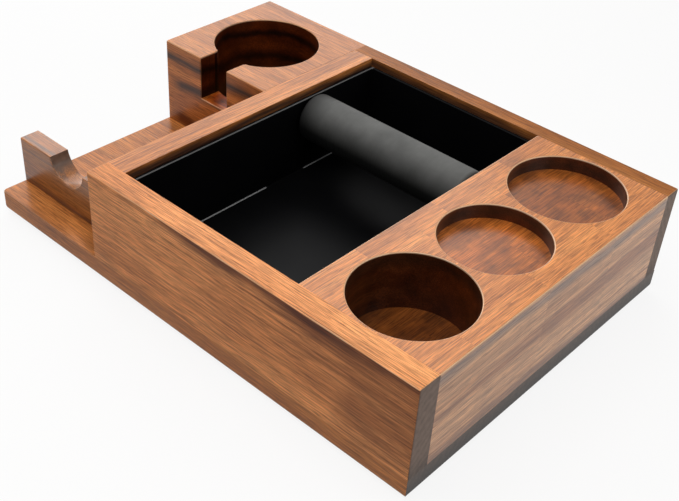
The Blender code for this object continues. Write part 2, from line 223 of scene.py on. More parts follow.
def settle(piece, name=None):
    """Puts a piece's place, turn and size into its mesh."""
    if name:
        piece.name = name
        piece.data.name = name
    only(piece)
    bpy.ops.object.transform_apply(location=True, rotation=True, scale=True)
    return piece


def plank(name, low, high):
    """A box from its lowest to its highest corner."""
    bpy.ops.object.select_all(action="DESELECT")
    bpy.ops.mesh.primitive_cube_add(size=1, location=(Vector(low) + Vector(high)) / 2)
    piece = bpy.context.object
    piece.scale = Vector(high) - Vector(low)
    return settle(piece, name)


def rod(name, radius, depth, place, along="z", sides=None):
    """A cylinder round a place, along an axis."""
    bpy.ops.object.select_all(action="DESELECT")
    bpy.ops.mesh.primitive_cylinder_add(
        vertices=sides or sizes().bore_sides, radius=radius, depth=depth, location=place,
        rotation=TURNS[along],
    )
    return settle(bpy.context.object, name)


def edit_edges(piece, test):
    """Opens a piece in edit mode with the edges selected whose two ends pass the test."""
    only(piece)
    bpy.context.tool_settings.mesh_select_mode = (False, True, False)
    mesh = piece.data
    mesh.polygons.foreach_set("select", [False] * len(mesh.polygons))
    mesh.vertices.foreach_set("select", [False] * len(mesh.vertices))
    for edge in mesh.edges:
        edge.select = bool(test(*(mesh.vertices[i].co for i in edge.vertices)))
    bpy.ops.object.mode_set(mode="EDIT")


def edit_faces(piece, test):
    """Opens a piece in edit mode with the faces selected whose centre and normal pass the test."""
    only(piece)
    bpy.context.tool_settings.mesh_select_mode = (False, False, True)
    mesh = piece.data
    mesh.edges.foreach_set("select", [False] * len(mesh.edges))
    mesh.vertices.foreach_set("select", [False] * len(mesh.vertices))
    for face in mesh.polygons:
        face.select = bool(test(face.center, face.normal))
    bpy.ops.object.mode_set(mode="EDIT")


def leave_edit():
    """Goes back to object mode."""
    bpy.ops.object.mode_set(mode="OBJECT")


def ease(piece, radius, test, steps=None):
    """Rounds the edges that the test picks."""
    edit_edges(piece, test)
    steps = steps or sizes().edge_steps
    bpy.ops.mesh.bevel(offset=radius, offset_type="OFFSET", segments=steps, affect="EDGES")
    leave_edit()


def lie(a, b, axis, value):
    """Whether both ends of an edge lie at a value along an axis."""
    i = AXES[axis]
    return abs(a[i] - value) < SAME_PLACE and abs(b[i] - value) < SAME_PLACE


def run(a, b, axis):
    """Whether an edge runs along an axis."""
    return all(abs(a[i] - b[i]) < SAME_PLACE for i in range(3) if i != AXES[axis])


def round_about(a, b, centre, radius, slack=0.0002):
    """Whether both ends of an edge lie on an upright circle's line."""
    return all(abs(math.hypot(p.x - centre[0], p.y - centre[1]) - radius) < slack for p in (a, b))


def cut(piece, tool):
    """Takes a cutter out of a piece and clears the cutter away."""
    only(piece)
    bpy.ops.object.modifier_add(type="BOOLEAN")
    boolean = piece.modifiers[-1]
    boolean.operation = "DIFFERENCE"
    boolean.solver = "EXACT"
    boolean.object = tool
    bpy.ops.object.modifier_apply(modifier=boolean.name)
    bpy.data.objects.remove(tool, do_unlink=True)


def drill(piece, names):
    """Cuts the holes that dowels and screw shanks lie in."""
    for name in names:
        low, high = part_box(name)
        size = high - low
        along = max(AXES, key=lambda axis: size[AXES[axis]])
        across = min(size[i] for i in range(3) if i != AXES[along])
        radius = across / 2 if "dowel" in name else WOOD_SHANK
        cut(piece, rod("hole", radius + FIT, size[AXES[along]] + 2 * FIT, (low + high) / 2, along, 24))


def countersink(piece, head, shank, place, turn=(0, 0, 0)):
    """Cuts the cone that a screw's head lies in."""
    bpy.ops.object.select_all(action="DESELECT")
    bpy.ops.mesh.primitive_cone_add(
        vertices=SCREW_SIDES, radius1=head + HEAD_ROOM, radius2=shank, depth=head,
        location=place, rotation=turn,
    )
    cut(piece, settle(bpy.context.object, "countersink"))


def flatten_shading(piece):
    """Smooth shading that leaves the flat faces flat."""
    only(piece)
    bpy.ops.object.shade_smooth_by_angle(angle=SMOOTH_ANGLE)
    bpy.ops.object.modifier_add(type="WEIGHTED_NORMAL")
    weighted = piece.modifiers[-1]
    weighted.keep_sharp = True
    bpy.ops.object.modifier_apply(modifier=weighted.name)


def dress(piece, finish, body, replaced):
    """Gives a piece its finish and the body it rides on, and hides the node it stands for."""
    flatten_shading(piece)
    piece.data.materials.clear()
    piece.data.materials.append(finish)
    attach(piece, body)
    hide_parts(replaced)


def first_out(node):
    """The output that a node shows with its present settings."""
    return next(out for out in node.outputs if out.enabled)


def feed(tree, node, inputs):
    """Sets a node's inputs, or links them to the nodes or sockets that feed them."""
    for key, value in inputs.items():
        if isinstance(value, bpy.types.Node):
            value = first_out(value)
        if isinstance(value, bpy.types.NodeSocket):
            tree.links.new(value, node.inputs[key])
        else:
            node.inputs[key].default_value = value


def add(tree, kind, inputs=None, stops=(), **settings):
    """Adds a node with its settings, its inputs and a ramp's stops.

    An input goes by its name or its number. Math and Vector Math take theirs in order from 0. Map Range
    takes a value at 0, the range it comes from at 1 and 2 and the range it is put on at 3 and 4, each 0 to
    1 unless given. Mix takes the share of the second at 0, and two numbers at 2 and 3 or colours at 6 and 7.
    """
    made = tree.nodes.new(kind)
    for key, value in settings.items():
        setattr(made, key, value)
    feed(tree, made, inputs or {})
    for i, (position, shade) in enumerate(stops):
        ramp = made.color_ramp.elements
        stop = ramp[i] if i < len(ramp) else ramp.new(position)
        stop.position = position
        stop.color = (*shade, 1.0)
    return made


def new_finish(name, roughness, metallic=0.0):
    """A material with its node tree and its shader."""
    made = bpy.data.materials.new(name)
    made.use_nodes = True
    shader = made.node_tree.nodes["Principled BSDF"]
    shader.inputs["Roughness"].default_value = roughness
    shader.inputs["Metallic"].default_value = metallic
    return made, made.node_tree, shader


def grain(wood, size, shift, detail=2.0, rough=0.5):
    """Streaks of a length and a width along the grain, kept apart from the others by their own shift."""
    reach, width = size
    scale = [1 / width] * 3
    scale[wood.axis] = 1 / reach
    start = (wood.seed + shift, 1.7 * wood.seed - shift, 0.6 * wood.seed + 2 * shift)
    drawn_out = add(wood.tree, "ShaderNodeMapping", {
        "Vector": wood.place, "Location": start, "Scale": scale,
    })
    return add(wood.tree, "ShaderNodeTexNoise", {
        "Vector": drawn_out, "Scale": 1.0, "Detail": detail, "Roughness": rough,
    })


def cut_in_staves(wood, corner, long, wide):
    """The wood as staves glued side by side, and each stave's tone. They show on faces that look up."""
    tree, upward = wood.tree, wood.facing[2]
    size = [wide, wide, 1.0]
    size[wood.axis] = long
    start = [-c / w for c, w in zip(corner, size)]
    cells = add(tree, "ShaderNodeMapping", {
        "Vector": wood.place, "Location": start, "Scale": [1 / w for w in size],
    })
    cells = add(tree, "ShaderNodeSeparateXYZ", {0: cells}).outputs
    row = add(tree, "ShaderNodeMath", {0: cells[1 - wood.axis]}, operation="FLOOR")
    # Each row starts 0.41 of a stave further along than the one beside it.
    step = add(tree, "ShaderNodeMath", {0: row, 1: 0.41, 2: cells[wood.axis]}, operation="MULTIPLY_ADD")
    step = add(tree, "ShaderNodeMath", {0: step}, operation="FLOOR")
    cell = add(tree, "ShaderNodeCombineXYZ", {0: row, 1: step})
    pick = add(tree, "ShaderNodeTexWhiteNoise", {"Vector": cell}).outputs
    push = add(tree, "ShaderNodeVectorMath", {0: pick["Color"], "Scale": upward}, operation="SCALE")
    place = add(tree, "ShaderNodeVectorMath", {
        0: push, 1: (0.7, 0.7, 0.7), 2: wood.place,
    }, operation="MULTIPLY_ADD")
    tone = add(tree, "ShaderNodeMapRange", {0: pick["Value"], 3: -0.035, 4: 0.035})
    tone = add(tree, "ShaderNodeMath", {0: tone, 1: upward}, operation="MULTIPLY")
    return wood._replace(place=place), tone


def lay_belt(wood, body, belt, streaks):
    """The wood's colour with a belt in its sides, whose edges wander and follow the streaks."""
    tree, half = wood.tree, belt.half
    # Noise round 0.5 lifts and lowers the belt by up to 1.25 times half its thickness.
    level = add(tree, "ShaderNodeMath", {
        0: grain(wood, BELT_WANDER, 100 * belt.height), 1: 2.5 * half, 2: wood.where[2],
    }, operation="MULTIPLY_ADD")
    level = add(tree, "ShaderNodeMath", {0: level, 1: belt.height + 1.25 * half}, operation="SUBTRACT")
    level = add(tree, "ShaderNodeMath", {0: level}, operation="ABSOLUTE")
    level = add(tree, "ShaderNodeMath", {0: streaks, 1: half, 2: level}, operation="MULTIPLY_ADD")
    share = add(tree, "ShaderNodeMapRange", {
        0: level, 1: 0.5 * half, 2: 1.9 * half, 3: belt.strength, 4: 0.0,
    }, interpolation_type="SMOOTHSTEP")
    begun = add(tree, "ShaderNodeMapRange", {0: wood.where[0], 1: belt.start, 2: belt.start + 0.012})
    share = add(tree, "ShaderNodeMath", {0: share, 1: begun}, operation="MULTIPLY")
    side = add(tree, "ShaderNodeMapRange", {0: wood.facing[2], 1: 0.3, 2: 0.7, 3: 1.0, 4: 0.0})
    share = add(tree, "ShaderNodeMath", {0: share, 1: side}, operation="MULTIPLY")
    return add(tree, "ShaderNodeMix", {0: share, 6: body, 7: (*belt.shade, 1.0)}, data_type="RGBA")


def stain_and_shade_bore(wood, body, bore, pools):
    """The wood's colour with stain and painted shade on a bore's wall and floor, pools on its floor, and
    where that is.
    """
    tree, where = wood.tree, wood.where
    # Small margins take in the wall's and the floor's own faces, and the stain and painted shade fade in the
    # last 1 mm.
    off = add(tree, "ShaderNodeCombineXYZ", {0: where[0], 1: where[1]})
    off = add(tree, "ShaderNodeVectorMath", {0: off, 1: (*bore.centre, 0.0)}, operation="DISTANCE")
    inside = add(tree, "ShaderNodeMath", {
        0: off.outputs["Value"], 1: bore.radius + 0.0002,
    }, operation="LESS_THAN")
    below = add(tree, "ShaderNodeMapRange", {
        0: where[2], 1: bore.rim - 0.001, 2: bore.rim, 3: 1.0, 4: 0.0,
    })
    inside = add(tree, "ShaderNodeMath", {0: inside, 1: below}, operation="MULTIPLY")
    above = add(tree, "ShaderNodeMath", {0: where[2], 1: bore.floor - 0.0003}, operation="GREATER_THAN")
    inside = add(tree, "ShaderNodeMath", {0: inside, 1: above}, operation="MULTIPLY")
    flat = add(tree, "ShaderNodeMapRange", {0: wood.facing[2], 1: 0.2, 2: 0.8})
    # Painted shade with the stain: the wall and floor are darkened, each floor by its own share.
    on_floor = [bore.floor_tone * c for c in colours().floor_stain]
    stain = add(tree, "ShaderNodeMix", {
        0: flat, 6: (*colours().bore_stain_and_shade, 1.0), 7: (*on_floor, 1.0),
    }, data_type="RGBA")
    stain = add(tree, "ShaderNodeMix", {0: 1.0, 6: stain, 7: pools}, data_type="RGBA", blend_type="MULTIPLY")
    body = add(tree, "ShaderNodeMix", {
        0: inside, 6: body, 7: stain,
    }, data_type="RGBA", blend_type="MULTIPLY")
    return body, inside


def end_grain(wood):
    """The colour of the end grain: stained growth rings, darker towards the floor."""
    tree = wood.tree
    about_pith = add(tree, "ShaderNodeMapping", {
        "Vector": wood.place, "Location": (0.03, 0.02 + 0.001 * wood.seed, 0.04),
    })
    # At a scale of 1 the rings lie 0.314 units apart.
    years = add(tree, "ShaderNodeTexWave", {
        "Vector": about_pith, "Scale": 0.314 / YEAR_RING,
        "Distortion": 8.0, "Detail": 3.0, "Detail Scale": 0.5,
    }, wave_type="RINGS", rings_direction="XYZ"[wood.axis])
    flecks = grain(wood, END_FLECK, 17.0, 3.0)
    rings = add(tree, "ShaderNodeMix", {0: 0.17, 2: flecks, 3: years.outputs["Fac"]})
    rings = add(tree, "ShaderNodeMapRange", {0: rings, 1: 0.3, 2: 0.7, 3: 0.78, 4: 1.2})
    ends = add(tree, "ShaderNodeMix", {
        0: 1.0, 6: (*colours().wood_end, 1.0), 7: rings,
    }, data_type="RGBA", blend_type="MULTIPLY")
    # It is darker towards the floor: darkest 5 mm above it, lightening up to 26 mm.
    darker_near_floor = add(tree, "ShaderNodeMapRange", {0: wood.where[2], 1: 0.005, 2: 0.026, 3: 0.10, 4: 1.0})
    return add(tree, "ShaderNodeMix", {0: 1.0, 6: ends, 7: darker_near_floor}, data_type="RGBA", blend_type="MULTIPLY")


def lacquered_wood(
    name, along, seed, band=0.010, heart=0.2, tone=1.0, veins=0.5, stave=None, belts=(), bores=(),
    stripes=0.0, edge_highlight=0.45, gloss=0.4, tint=(1.0, 1.0, 1.0)
):
    """Acacia, planed, stained and lacquered: brown streaks and pores under a soft gloss, grey end grain.

    The grain runs along an axis. A band is the width of its tone bands, heart the share of grey-brown
    heartwood, tone the board's own lightness, tint what its colour is multiplied by, and veins the
    strength of its thin dark lines. A stave is a corner, a length and a width of the staves glued side by
    side. Stripes is the strength of the layers on a sawn side, edge_highlight the strength of the painted
    highlight on the sanded edges, and gloss the strength of the lacquer.
    """
    made, tree, shader = new_finish(name, 0.45)
    shades = colours()
    spots = add(tree, "ShaderNodeTexCoord")
    place = spots.outputs["Object"]
    where = add(tree, "ShaderNodeSeparateXYZ", {0: place}).outputs
    facing = add(tree, "ShaderNodeVectorMath", {0: spots.outputs["Normal"]}, operation="ABSOLUTE")
    facing = add(tree, "ShaderNodeSeparateXYZ", {0: facing}).outputs
    wood = Wood(tree, place, where, facing, AXES[along], seed)
    if stave:
        wood, stave_tone = cut_in_staves(wood, *stave)

    bands = grain(wood, (BAND_LENGTH, band), 0.0)
    streaks = grain(wood, STREAK, 5.0, 3.0, 0.6)
    fibres = grain(wood, FIBRE, 9.0, 2.0, 0.6)
    figure = add(tree, "ShaderNodeMix", {0: 0.30, 2: bands, 3: streaks})
    figure = add(tree, "ShaderNodeMix", {0: 0.22, 2: figure, 3: grain(wood, CLOUD, 13.0, 1.0)})
    if stave:
        figure = add(tree, "ShaderNodeMath", {0: figure, 1: stave_tone}, operation="ADD")
    ramp = [(position, [tone * t * c for t, c in zip(tint, shade)]) for position, shade in (
        (0.31, shades.wood_dark), (0.48, shades.wood_brown), (0.66, shades.wood_light)
    )]
    body = add(tree, "ShaderNodeValToRGB", {0: figure}, ramp)
    hearted = add(tree, "ShaderNodeMapRange", {
        0: grain(wood, (HEART_LENGTH, band * 0.8), 21.0, 3.0),
        1: 0.70 - 0.26 * heart, 2: 0.82 - 0.26 * heart, 4: min(0.8, 0.3 + heart),
    })
    body = add(tree, "ShaderNodeMix", {
        0: hearted, 6: body, 7: (*shades.wood_heart, 1.0),
    }, data_type="RGBA")
    if stripes:
        layers = add(tree, "ShaderNodeMapRange", {0: grain(wood, LAYER, 51.0), 1: 0.38, 2: 0.62})
        layers = add(tree, "ShaderNodeMix", {
            0: layers, 6: (*shades.wood_layer_dark, 1.0), 7: (*shades.wood_layer, 1.0),
        }, data_type="RGBA")
        sawn = add(tree, "ShaderNodeMath", {0: facing[1 - wood.axis], 1: stripes}, operation="MULTIPLY")
        body = add(tree, "ShaderNodeMix", {0: sawn, 6: body, 7: layers}, data_type="RGBA")
    for belt in belts:
        body = lay_belt(wood, body, belt, streaks)

    weave = add(tree, "ShaderNodeMapRange", {0: fibres, 1: 0.34, 2: 0.66, 3: 0.54, 4: 1.46})
    body = add(tree, "ShaderNodeMix", {0: 1.0, 6: body, 7: weave}, data_type="RGBA", blend_type="MULTIPLY")
    lines = add(tree, "ShaderNodeMapRange", {0: grain(wood, LINE, 33.0, 1.0), 1: 0.58, 2: 0.68, 4: veins})
    body = add(tree, "ShaderNodeMix", {0: lines, 6: body, 7: (*shades.wood_pore, 1.0)}, data_type="RGBA")
    pores = add(tree, "ShaderNodeMapRange", {0: grain(wood, PORE, 29.0, 1.0), 1: 0.60, 2: 0.70, 4: 0.5})
    body = add(tree, "ShaderNodeMix", {0: pores, 6: body, 7: (*shades.wood_pore, 1.0)}, data_type="RGBA")

    # The end grain shows where the surface faces along the grain, but not in a bore.
    end_mask = add(tree, "ShaderNodeMapRange", {0: facing[wood.axis], 1: 0.45, 2: 0.85})
    pools = add(tree, "ShaderNodeTexNoise", {"Vector": place, "Scale": 1 / STAIN_POOL, "Detail": 3.0})
    pools = add(tree, "ShaderNodeMapRange", {0: pools, 1: 0.36, 2: 0.64, 3: 0.66, 4: 1.24})
    stained = 0.0
    for bore in bores:
        body, inside = stain_and_shade_bore(wood, body, bore, pools)
        stained = add(tree, "ShaderNodeMath", {0: inside, 1: stained}, operation="MAXIMUM")
    outside = add(tree, "ShaderNodeMapRange", {0: stained, 3: 1.0, 4: 0.0})
    end_mask = add(tree, "ShaderNodeMath", {0: end_mask, 1: outside}, operation="MULTIPLY")
    # A painted highlight lies on the sanded edges, which face neither straight up nor straight out.
    slope = add(tree, "ShaderNodeMath", {0: facing[2], 1: 0.6, 2: 0.34}, operation="COMPARE")
    highlight_share = add(tree, "ShaderNodeMapRange", {
        0: grain(wood, EDGE_HIGHLIGHT_PATCH, 61.0), 1: 0.35, 2: 0.6, 3: 0.25 * edge_highlight, 4: edge_highlight,
    })
    highlight_share = add(tree, "ShaderNodeMath", {0: highlight_share, 1: slope}, operation="MULTIPLY")
    body = add(tree, "ShaderNodeMix", {0: highlight_share, 6: body, 7: (*shades.wood_edge_highlight, 1.0)}, data_type="RGBA")
    body = add(tree, "ShaderNodeMix", {0: end_mask, 6: body, 7: end_grain(wood)}, data_type="RGBA")

    rough = add(tree, "ShaderNodeMapRange", {0: fibres, 1: 0.3, 2: 0.7, 3: 0.42, 4: 0.52})
    relief = add(tree, "ShaderNodeMath", {0: pores, 1: -1.0, 2: fibres}, operation="MULTIPLY_ADD")
    bump = add(tree, "ShaderNodeBump", {"Strength": 0.3, "Distance": 0.0001, "Height": relief})
    feed(tree, shader, {
        "Base Color": body, "Roughness": rough, "Normal": bump,
        "Specular IOR Level": 0.05, "Coat Weight": gloss, "Coat Roughness": 0.25,
    })
    return made


def moulded_plastic():
    """ABS, injection moulded with a fine spark-eroded grain: black, a soft sheen and painted highlight
    lines.
    """
    made, tree, shader = new_finish("moulded_black_abs", 0.3)
    low, high = BIN
    wall = sizes().bin_wall
    place = add(tree, "ShaderNodeTexCoord").outputs["Object"]
    where = add(tree, "ShaderNodeSeparateXYZ", {0: place}).outputs
    # Spark-eroded grain is about 0.1 mm across; it is drawn 0.6 mm across, or the render would lose it.
    texture = add(tree, "ShaderNodeTexNoise", {"Vector": place, "Scale": 1 / 0.0006, "Detail": 2.0})
    smears = add(tree, "ShaderNodeTexNoise", {"Vector": place, "Scale": 1 / 0.03, "Detail": 3.0})
    rough = add(tree, "ShaderNodeMapRange", {0: smears, 1: 0.3, 2: 0.7, 3: 0.34, 4: 0.42})
    shade = add(tree, "ShaderNodeMapRange", {0: smears, 3: 0.8, 4: 1.2})
    base = add(tree, "ShaderNodeMix", {
        0: 1.0, 6: (*colours().plastic, 1.0), 7: shade,
    }, data_type="RGBA", blend_type="MULTIPLY")
    # Painted highlights: a light line on the left side's inner face where it meets the floor, and a fainter
    # one at the rim.
    at_side = add(tree, "ShaderNodeMath", {0: where[0], 1: low.x + wall, 2: 0.0006}, operation="COMPARE")
    at_foot = add(tree, "ShaderNodeMath", {0: where[2], 1: low.z + wall, 2: 0.0006}, operation="COMPARE")
    at_rim = add(tree, "ShaderNodeMath", {0: where[2], 1: high.z, 2: 0.0005}, operation="COMPARE")
    # The lower painted highlight breaks off for 33 mm.
    highlight_gap = add(tree, "ShaderNodeMath", {0: where[1], 1: 0.0205, 2: 0.0165}, operation="COMPARE")
    highlight_kept = add(tree, "ShaderNodeMapRange", {0: highlight_gap, 3: 1.0, 4: 0.0})
    foot_line = add(tree, "ShaderNodeMath", {0: at_side, 1: at_foot}, operation="MULTIPLY")
    foot_line = add(tree, "ShaderNodeMath", {0: foot_line, 1: highlight_kept}, operation="MULTIPLY")
    rim_line = add(tree, "ShaderNodeMath", {0: at_side, 1: at_rim}, operation="MULTIPLY")
    rim_line = add(tree, "ShaderNodeMath", {0: rim_line, 1: 0.4}, operation="MULTIPLY")
    bin_painted_highlight = add(tree, "ShaderNodeMath", {0: foot_line, 1: rim_line}, operation="MAXIMUM")
    base = add(tree, "ShaderNodeMix", {0: bin_painted_highlight, 6: base, 7: (*colours().bin_painted_highlight, 1.0)}, data_type="RGBA")
    bump = add(tree, "ShaderNodeBump", {"Strength": 0.05, "Distance": 0.00005, "Height": texture})
    feed(tree, shader, {"Base Color": base, "Roughness": rough, "Normal": bump, "Specular IOR Level": 0.05})
    return made


def sleeve_rubber():
    """Nitrile rubber, ground on a centre: matte charcoal with faint turned lines and dust, and painted shade
    underneath and at its left end.
    """
    made, tree, shader = new_finish("ground_nitrile_rubber", 0.55)
    spots = add(tree, "ShaderNodeTexCoord")
    place = spots.outputs["Object"]
    # Grinding lines are about 0.2 mm apart; they are drawn 0.8 mm apart, or the render would lose them.
    turned = add(tree, "ShaderNodeMapping", {"Vector": place, "Scale": (1 / 0.0008, 1 / 0.02, 1 / 0.02)})
    rings = add(tree, "ShaderNodeTexNoise", {"Vector": turned, "Scale": 1.0, "Detail": 2.0})
    dust = add(tree, "ShaderNodeTexNoise", {"Vector": place, "Scale": 1 / 0.012, "Detail": 5.0})
    shade = add(tree, "ShaderNodeMapRange", {0: dust, 1: 0.3, 2: 0.7, 3: 0.85, 4: 1.15})
    base = add(tree, "ShaderNodeMix", {
        0: 1.0, 6: (*colours().rubber, 1.0), 7: shade,
    }, data_type="RGBA", blend_type="MULTIPLY")
    # Painted shade: darker underneath, where no light falls, and a painted shadow at its left end.
    along = add(tree, "ShaderNodeSeparateXYZ", {0: place}).outputs["X"]
    upward = add(tree, "ShaderNodeSeparateXYZ", {0: spots.outputs["Normal"]}).outputs["Z"]
    left_end = SLEEVE[0].x
    sleeve_painted_shade = add(tree, "ShaderNodeMapRange", {0: along, 1: left_end, 2: left_end + 0.018, 3: 0.05, 4: 1.0})
    sleeve_light_from_above = add(tree, "ShaderNodeMapRange", {0: upward, 1: -0.1, 2: 0.9, 3: 0.05, 4: 1.0})
    sleeve_painted_shade = add(tree, "ShaderNodeMath", {0: sleeve_painted_shade, 1: sleeve_light_from_above}, operation="MULTIPLY")
    base = add(tree, "ShaderNodeMix", {0: 1.0, 6: base, 7: sleeve_painted_shade}, data_type="RGBA", blend_type="MULTIPLY")
    rough = add(tree, "ShaderNodeMapRange", {0: rings, 1: 0.3, 2: 0.7, 3: 0.62, 4: 0.74})
    bump = add(tree, "ShaderNodeBump", {"Strength": 0.08, "Distance": 0.0001, "Height": rings})
    feed(tree, shader, {"Base Color": base, "Roughness": rough, "Normal": bump, "Specular IOR Level": 0.15})
    return made


def foot_rubber():
    """Moulded silicone rubber: dead matt black with a dusting of lint."""
    made, tree, shader = new_finish("moulded_silicone_rubber", 0.8)
    place = add(tree, "ShaderNodeTexCoord").outputs["Object"]
    lint = add(tree, "ShaderNodeTexNoise", {"Vector": place, "Scale": 1 / 0.0012, "Detail": 4.0})
    shade = add(tree, "ShaderNodeMapRange", {0: lint, 1: 0.3, 2: 0.75, 3: 0.8, 4: 1.8})
    base = add(tree, "ShaderNodeMix", {
        0: 1.0, 6: (*colours().foot, 1.0), 7: shade,
    }, data_type="RGBA", blend_type="MULTIPLY")
    bump = add(tree, "ShaderNodeBump", {"Strength": 0.2, "Distance": 0.0001, "Height": lint})
    feed(tree, shader, {"Base Color": base, "Normal": bump})
    return made


def plated_metal(name, shade, spangle, low, high):
    """Steel, drawn or zinc plated: bright metal whose roughness drifts between two values in patches."""
    made, tree, shader = new_finish(name, low, 1.0)
    place = add(tree, "ShaderNodeTexCoord").outputs["Object"]
    patches = add(tree, "ShaderNodeTexNoise", {"Vector": place, "Scale": 1 / spangle, "Detail": 3.0})
    tone = add(tree, "ShaderNodeMapRange", {0: patches, 1: 0.3, 2: 0.7, 3: 0.85, 4: 1.05})
    base = add(tree, "ShaderNodeMix", {
        0: 1.0, 6: (*shade, 1.0), 7: tone,
    }, data_type="RGBA", blend_type="MULTIPLY")
    rough = add(tree, "ShaderNodeMapRange", {0: patches, 1: 0.3, 2: 0.7, 3: low, 4: high})
    feed(tree, shader, {"Base Color": base, "Roughness": rough})
    return made


def turned_beech():
    """Beech dowel, turned and bare: pale and dull, with small dark flecks."""
    made, tree, shader = new_finish("turned_beech", 0.65)
    place = add(tree, "ShaderNodeTexCoord").outputs["Object"]
    flecks = add(tree, "ShaderNodeTexNoise", {"Vector": place, "Scale": 1 / 0.0012, "Detail": 3.0})
    tone = add(tree, "ShaderNodeMapRange", {0: flecks, 1: 0.3, 2: 0.7, 3: 0.75, 4: 1.1})
    base = add(tree, "ShaderNodeMix", {
        0: 1.0, 6: (*colours().beech, 1.0), 7: tone,
    }, data_type="RGBA", blend_type="MULTIPLY")
    feed(tree, shader, {"Base Color": base})
    return made


def screws_in(*names):
    """The wood screws and dowels whose node names start with one of these."""
    return [name for name in WOOD_SCREWS + DOWELS if name.startswith(names)]


class BoardOperator(bpy.types.Operator):
    """Builds the board under everything, countersunk below for its screws"""

    bl_idname = "station.board"
    bl_label = "Base board"

    def execute(self, context):
        s = sizes()
        low, high = BOARD
        board = plank("base_board_dressed", low, high)
        left_end = low.x + 2 * s.underside
        ease(board, s.underside, lambda a, b: lie(a, b, "z", low.z) or (run(a, b, "z") and a.x < 0), 4)
        ease(board, s.edge, lambda a, b: lie(a, b, "z", high.z) and a.x < left_end and b.x < left_end)
        ease(board, s.arris, lambda a, b: lie(a, b, "z", high.z) and run(a, b, "x"), 2)
        for name in WOOD_SCREWS:
            start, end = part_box(name)
            middle = (start + end) / 2
            head = (end.x - start.x) / 2
            countersink(board, head, WOOD_SHANK, (middle.x, middle.y, low.z + head / 2 - FIT))
        drill(board, WOOD_SCREWS)
        finish = lacquered_wood(
            "lacquered_acacia_board", "x", 3.0, band=0.010, heart=0.1, tone=0.66, veins=0.3, gloss=0.3,
            # Painted shade: a black-brown band along the foot of the board's sides, where it meets the
            # floor.
            belts=[Belt(0.0015, 0.002, 0.85, colours().wood_ink_and_painted_shade)],
        )
        dress(board, finish, "station", "base_board")
        return {"FINISHED"}


class WallsOperator(bpy.types.Operator):
    """Builds the front, rear and left walls of the box"""

    bl_idname = "station.walls"
    bl_label = "Walls"

    def execute(self, context):
        s = sizes()
        shades = colours()
        seat = BOARD[1].z
        low, high = FRONT_WALL
        front = plank("front_wall_dressed", (low.x, low.y, seat), high)
        ease(front, s.edge, lambda a, b: (
            (lie(a, b, "y", low.y) and not lie(a, b, "z", seat))
            or (lie(a, b, "z", high.z) and run(a, b, "y"))
        ))
        drill(front, screws_in("front_wall", "left_wall_dowel_front", "accessory_block_dowel_front"))
        finish = lacquered_wood(
            "lacquered_acacia_front", "x", 11.0, band=0.014, heart=0.2, tone=1.02, veins=0.5, gloss=0.18,
            tint=(0.98, 1.08, 1.5), belts=[
                Belt(0.0725, 0.010, 0.95, shades.wood_flame, -0.02),
                Belt(0.0400, 0.024, 0.5, shades.wood_pore, 0.110),
            ],
        )
        dress(front, finish, "station", "front_wall")

        low, high = REAR_WALL
        rear = plank("rear_wall_dressed", (low.x, low.y, seat), high)
        ease(rear, s.edge, lambda a, b: (
            (lie(a, b, "y", high.y) and not lie(a, b, "z", seat) and not lie(a, b, "x", low.x))
            or (lie(a, b, "z", high.z) and lie(a, b, "x", high.x))
        ))
        drill(rear, screws_in("rear_wall", "left_wall_dowel_rear", "accessory_block_dowel_rear"))
        finish = lacquered_wood(
            # Its low tone is partly the board's own lightness and partly painted shade: the rear of the box
            # drawn darker than the front.
            "lacquered_acacia_rear", "x", 17.0, band=0.010, heart=0.1, tone=0.5, veins=0.3, gloss=0.12,
            # Painted shade: a black-brown band under the wall's top, where its inner face above the bin lies
            # in shade.
            belts=[Belt(0.0670, 0.004, 0.8, shades.wood_ink_and_painted_shade)],
        )
        dress(rear, finish, "station", "rear_wall")

        low, high = LEFT_WALL
        left = plank("left_wall_dressed", (low.x, FRONT_WALL[1].y, seat), (high.x, REAR_WALL[0].y, high.z))
        ease(left, s.arris, lambda a, b: lie(a, b, "z", high.z) and run(a, b, "y"), 2)
        drill(left, screws_in("left_wall", "portafilter_block_dowel"))
        finish = lacquered_wood(
            "lacquered_acacia_left", "y", 23.0, band=0.010, heart=0.05, tone=0.8, veins=0.3,
            # Painted shade: a black-brown band under the wall's top, where its inner face above the bin lies
            # in shade.
            belts=[Belt(0.0675, 0.004, 0.95, shades.wood_ink_and_painted_shade)],
        )
        dress(left, finish, "station", "left_wall")
        return {"FINISHED"}


